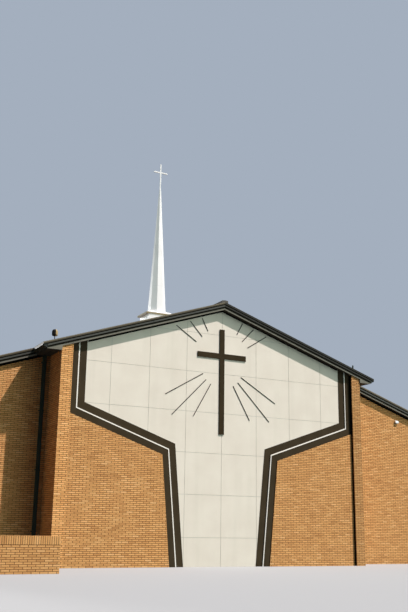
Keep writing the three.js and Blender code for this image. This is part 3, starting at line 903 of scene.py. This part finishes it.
def layShingles():  # behind the wings' edge down to the hall's eaves, before it to the bay's
    cosine, sine = math.cos(slopeAngle), math.sin(slopeAngle)
    wide, show = shingle["wide"], shingle["show"]
    areas = (
        (plan["wingEdge"], plan["backEdge"], plan["mainDrip"]),
        (plan["frontEdge"], plan["wingEdge"], plan["bayDrip"]),
    )
    for name, sign in sides.items():
        runs = []
        for near, far, drip in areas:
            skipped = math.floor((plan["mainDrip"] - drip) / cosine / show)
            lowest = plan["mainDrip"] - skipped * show * cosine
            rows = math.ceil(lowest / cosine / show / 2) + 1
            columns = math.ceil((far - near) / wide) + 2
            obj = modelShingle()
            perShingle = len(obj.data.vertices)
            repeat(obj, 2, (wide / 2, show, 0))
            repeat(obj, columns, (wide, 0, 0))
            repeat(obj, rows, (0, 2 * show, 0))
            tintEach(obj, perShingle, shingle["seed"] + len(runs))
            up = Vector((-sign * cosine, 0, sine))
            out = Vector((sign * sine, 0, cosine))
            turned = Matrix((up.cross(out), up, out)).transposed().to_4x4()
            first = near - 2 * wide if sign > 0 else far + 2 * wide
            corner = Vector((sign * lowest, first, roofAt("shingles", lowest)))
            obj.data.transform(Matrix.Translation(corner) @ turned)
            cuts = [
                ((0, near, 0), (0, -1, 0)), ((0, far, 0), (0, 1, 0)),
                ((sign * drip, 0, 0), (sign, 0, 0)), ((sign * plan["capHalf"], 0, 0), (-sign, 0, 0)),
            ]
            cutOff(obj, cuts, fill=False)
            runs.append(obj)
        finishPiece(join(f"shingles_{name}", runs), paints["shingle"])


layShingles()
print("roof shingled")


# Boards, flashings and fittings

fascia = {
    "top": 11.785, "high": 0.075, "proud": 0.014, "bayFront": -0.275, "wingFront": 1.225, "back": 26.0,
    "bayReach": 8.42, "mainReach": 15.89,
}


def slopeBoard(sign, ends, top, high, near, far, bevel=0.004):
    # along a slope between two distances from the middle, with its top as a height at the ridge line
    inner, outer = ends
    left, right = sorted((sign * inner, sign * outer))
    head = top - inner * pitch
    obj = addBox("board", (left, near, head - high), (right, far, head))
    editMode(obj)
    selectVertices(lambda p: abs(p.x) > (inner + outer) / 2)
    bpy.ops.transform.translate(value=(0, 0, (inner - outer) * pitch))
    objectMode()
    if bevel:
        bevelEdges(obj, bevel)
    return obj


def addFasciaBoards():
    top, high, proud = fascia["top"], fascia["high"], fascia["proud"]
    bay, wing, back = fascia["bayFront"], fascia["wingFront"], fascia["back"]
    bayReach, mainReach = fascia["bayReach"], fascia["mainReach"]
    boards = []
    for sign in sides.values():
        boards.append(slopeBoard(sign, (bayReach, mainReach), top, high, wing - proud, wing))
        boards.append(slopeBoard(sign, (0, mainReach), top, high, back, back + proud))
    boards.append(slopeBoard(-1, (0, bayReach), top, high, bay - proud, bay))
    finishPiece(join("fascia_boards", boards), paints["fascia"])
    # the bay's right board takes the darker paint: painted shade on that slope
    board = slopeBoard(1, (0, bayReach), top, high, bay - proud, bay)
    board.name = "fascia_board_right"
    finishPiece(board, paints["shadedRightBoard"])


shadeBeads = {
    "panel_shade_bead": {"ends": (0, 6.55), "top": 11.562, "high": 0.06, "front": -0.014, "back": -0.001},
    "wing_shade_bead": {"ends": (8.12, 15.2), "top": 11.562, "high": 0.1, "front": 1.403, "back": 1.428},
}


def addShadeBeads():  # dark beads where the panel and the wings meet the roof's boards: painted shade under the boards
    for name, shadeBead in shadeBeads.items():
        size = [shadeBead[key] for key in ("ends", "top", "high", "front", "back")]
        beads = [slopeBoard(sign, *size, bevel=0) for sign in sides.values()]
        finishPiece(join(name, beads), paints["shadeSealant"])


leader = {
    "bayX": 8.035, "bayHalf": 0.075, "bayDepth": 0.11, "sideHalf": 0.065, "sideDepth": 0.09,
    "sidePlaces": (5.2, 22.4), "bayStraps": (1.4, 3.9, 6.4, 8.5), "sideStraps": (1.4, 3.6, 5.8),
    "band": 0.04, "sheet": 0.004, "ear": 0.045, "arris": 0.0015,
}


def addStraps():  # a band round each leader every few metres, with an ear at each side of it
    parts = []
    half, sheet, ear = leader["band"] / 2, leader["sheet"], leader["ear"]
    wall, outside = plan["wingFront"] - brick["proud"], plan["mainSide"] + brick["proud"]
    for sign in sides.values():
        x, reach = sign * leader["bayX"], leader["bayHalf"] + sheet
        front = plan["wingFront"] - leader["bayDepth"] - sheet
        for z in leader["bayStraps"]:
            for wide, near in ((reach, front), (reach + ear, wall - sheet)):
                parts.append(addBox("band", (x - wide, near, z - half), (x + wide, wall, z + half)))
        reach, out = leader["sideHalf"] + sheet, plan["mainSide"] + leader["sideDepth"] + sheet
        for y in leader["sidePlaces"]:
            for z in leader["sideStraps"]:
                for wide, far in ((reach, out), (reach + ear, outside + sheet)):
                    left, right = sorted((sign * outside, sign * far))
                    parts.append(addBox("band", (left, y - wide, z - half), (right, y + wide, z + half)))
    straps = join("leader_straps", parts)
    bevelEdges(straps, leader["arris"])
    finishPiece(straps, paints["darkMetal"])


ridge = {
    "front": -0.295, "back": 26.02, "top": 12.0, "edge": 11.985, "half": 0.15, "show": 0.127,
    "long": 0.13335, "thick": 0.006, "seed": 51,
}


def layRidgeShingles():  # bent over the vent, each over the head of the one before it
    long, half, thick = ridge["long"], ridge["half"], ridge["thick"]
    obj = addBox("cap", (-half, 0, 0), (half, long, thick))
    editMode(obj)
    bpy.ops.mesh.select_all(action="SELECT")
    bpy.ops.mesh.bisect(plane_co=(0, 0, 0), plane_no=(1, 0, 0))
    selectVertices(lambda p: abs(p.x) < half / 2)
    bpy.ops.transform.translate(value=(0, 0, ridge["top"] - ridge["edge"]))
    selectVertices(lambda p: p.y < long / 2)
    bpy.ops.transform.translate(value=(0, 0, thick))
    objectMode()
    perShingle = len(obj.data.vertices)
    obj.data.transform(Matrix.Translation((0, ridge["front"], ridge["edge"])))
    repeat(obj, math.floor((ridge["back"] - ridge["front"]) / ridge["show"]), (0, ridge["show"], 0))
    tintEach(obj, perShingle, ridge["seed"])
    finishPiece(obj, paints["shingle"])


steeple = {
    "baseAcross": 0.72, "baseAlong": 0.61, "skirtAcross": 0.875, "skirtAlong": 0.64, "skirtFoot": 12.925,
    "skirtEdge": 0.085, "sheet": 0.006, "upstand": 0.11, "apron": 0.16, "lift": 0.014, "arris": 0.002,
}


def edgeSkirt():  # a tan strip round the skirt's foot: painted shade under the skirt's edge, warmed by a painted reflection of the tan roof
    y, sheet = plan["steeple"], steeple["sheet"]
    across, along = steeple["skirtAcross"], steeple["skirtAlong"]
    foot, head = steeple["skirtFoot"], steeple["skirtFoot"] + steeple["skirtEdge"]
    edges = []
    for sign in sides.values():
        left, right = sorted((sign * across, sign * (across + sheet)))
        edges.append(addBox("edge", (left, y - along - sheet, foot), (right, y + along + sheet, head)))
        near, far = sorted((sign * along, sign * (along + sheet)))
        edges.append(addBox("edge", (-across, y + near, foot), (across, y + far, head)))
    strips = join("skirt_edge_shade", edges)
    bevelEdges(strips, steeple["arris"])
    finishPiece(strips, paints["skirtEdge"])


def flashSteeple():  # upstands round the base, and aprons over the shingles
    y, sheet, rise, apron = plan["steeple"], steeple["sheet"], steeple["upstand"], steeple["apron"]
    across, along, inner = steeple["baseAcross"], steeple["baseAlong"], plan["capHalf"]
    upstandTop, apronTop = heights["shingles"] + rise, heights["shingles"] + steeple["lift"]
    parts = []
    for sign in sides.values():
        for side in (-1, 1):  # before and behind the base
            near, far = sorted((side * along, side * (along + sheet)))
            parts.append(slopeBoard(sign, (inner, across), upstandTop, rise, y + near, y + far, 0))
            near, far = sorted((side * along, side * (along + apron)))
            parts.append(slopeBoard(sign, (inner, across + apron), apronTop, sheet, y + near, y + far, 0))
        low = roofAt("shingles", across)
        left, right = sorted((sign * across, sign * (across + sheet)))
        parts.append(addBox("upstand", (left, y - along, low), (right, y + along, low + rise)))
        parts.append(slopeBoard(sign, (across, across + apron), apronTop, sheet, y - along, y + along, 0))
    finishPiece(join("steeple_flashing", parts), paints["lead"])


pierJointShade = {
    "wide": 0.04, "leg": 0.016, "back": -0.062, "front": -0.104, "tip": -0.17, "top": 9.12, "arris": 0.002,
}


def addPierJointShades():  # a dark angle in the corner between each pier and the brick or band beside it: a joint, and painted shade for the pier's shaded inner side and the shadow it casts
    parts = []
    for sign in sides.values():
        pier = plan["pierInner"]
        for inner, front in ((pier - pierJointShade["wide"], "front"), (pier - pierJointShade["leg"], "tip")):
            left, right = sorted((sign * inner, sign * pier))
            low, high = (left, pierJointShade[front], 0), (right, pierJointShade["back"], pierJointShade["top"])
            parts.append(addBox("angle", low, high))
    angles = join("pier_joint_shades", parts)
    bevelEdges(angles, pierJointShade["arris"])
    finishPiece(angles, paints["shadeSealant"])


pipes = {"flue": (-7.91, 0.5), "vent": (7.85, 0.4)}
flashing = {
    "half": 0.24, "lift": 0.016, "sheet": 0.004, "arris": 0.0015,
    "coneFoot": 0.12, "coneHead": 0.03, "coneHigh": 0.1, "coneSides": 24,
}


def addRoofFlashings():  # a plate under each pipe, and a cone round the flue's
    plates = []
    for x, y in pipes.values():
        sign, reach = math.copysign(1, x), flashing["half"]
        ends = (abs(x) - reach, abs(x) + reach)
        top = heights["shingles"] + flashing["lift"]
        size = (ends, top, flashing["sheet"], y - reach, y + reach)
        plates.append(slopeBoard(sign, *size, bevel=flashing["arris"]))
    deselectAll()
    x, y = pipes["flue"]
    middle = (x, y, roofAt("shingles", x) + flashing["coneHigh"] / 2)
    bpy.ops.mesh.primitive_cone_add(
        vertices=flashing["coneSides"], radius1=flashing["coneFoot"], radius2=flashing["coneHead"],
        depth=flashing["coneHigh"], end_fill_type="NOTHING", location=middle,
    )
    cone = bpy.context.object
    settle(cone)
    finishPiece(join("roof_flashings", [*plates, cone]), paints["lead"])


lamp = {
    "x": 11.375, "half": 0.07, "front": 1.34, "back": 1.40, "foot": 7.155, "head": 7.18,
    "lensRound": 0.012, "plateHalf": 0.09, "plateFoot": 7.15, "plateHead": 7.33, "plateThick": 0.006,
    "plateArris": 0.002,
}


def addLamps():  # a frosted lens under each wall light, and a plate behind it
    wall = plan["wingFront"] - brick["proud"]
    lenses, plates = [], []
    for sign in sides.values():
        x, half = sign * lamp["x"], lamp["half"]
        low, high = (x - half, lamp["front"], lamp["foot"]), (x + half, lamp["back"], lamp["head"])
        lenses.append(addBox("lens", low, high))
        half = lamp["plateHalf"]
        low = (x - half, wall - lamp["plateThick"], lamp["plateFoot"])
        plates.append(addBox("plate", low, (x + half, wall, lamp["plateHead"])))
    lens = join("lamp_lenses", lenses)
    bevelEdges(lens, lamp["lensRound"])
    finishPiece(lens, paints["lens"])
    plate = join("lamp_plates", plates)
    bevelEdges(plate, lamp["plateArris"])
    finishPiece(plate, paints["lead"])


addFasciaBoards()
addShadeBeads()
addStraps()
layRidgeShingles()
edgeSkirt()
flashSteeple()
addPierJointShades()
addRoofFlashings()
addLamps()
print("details added")
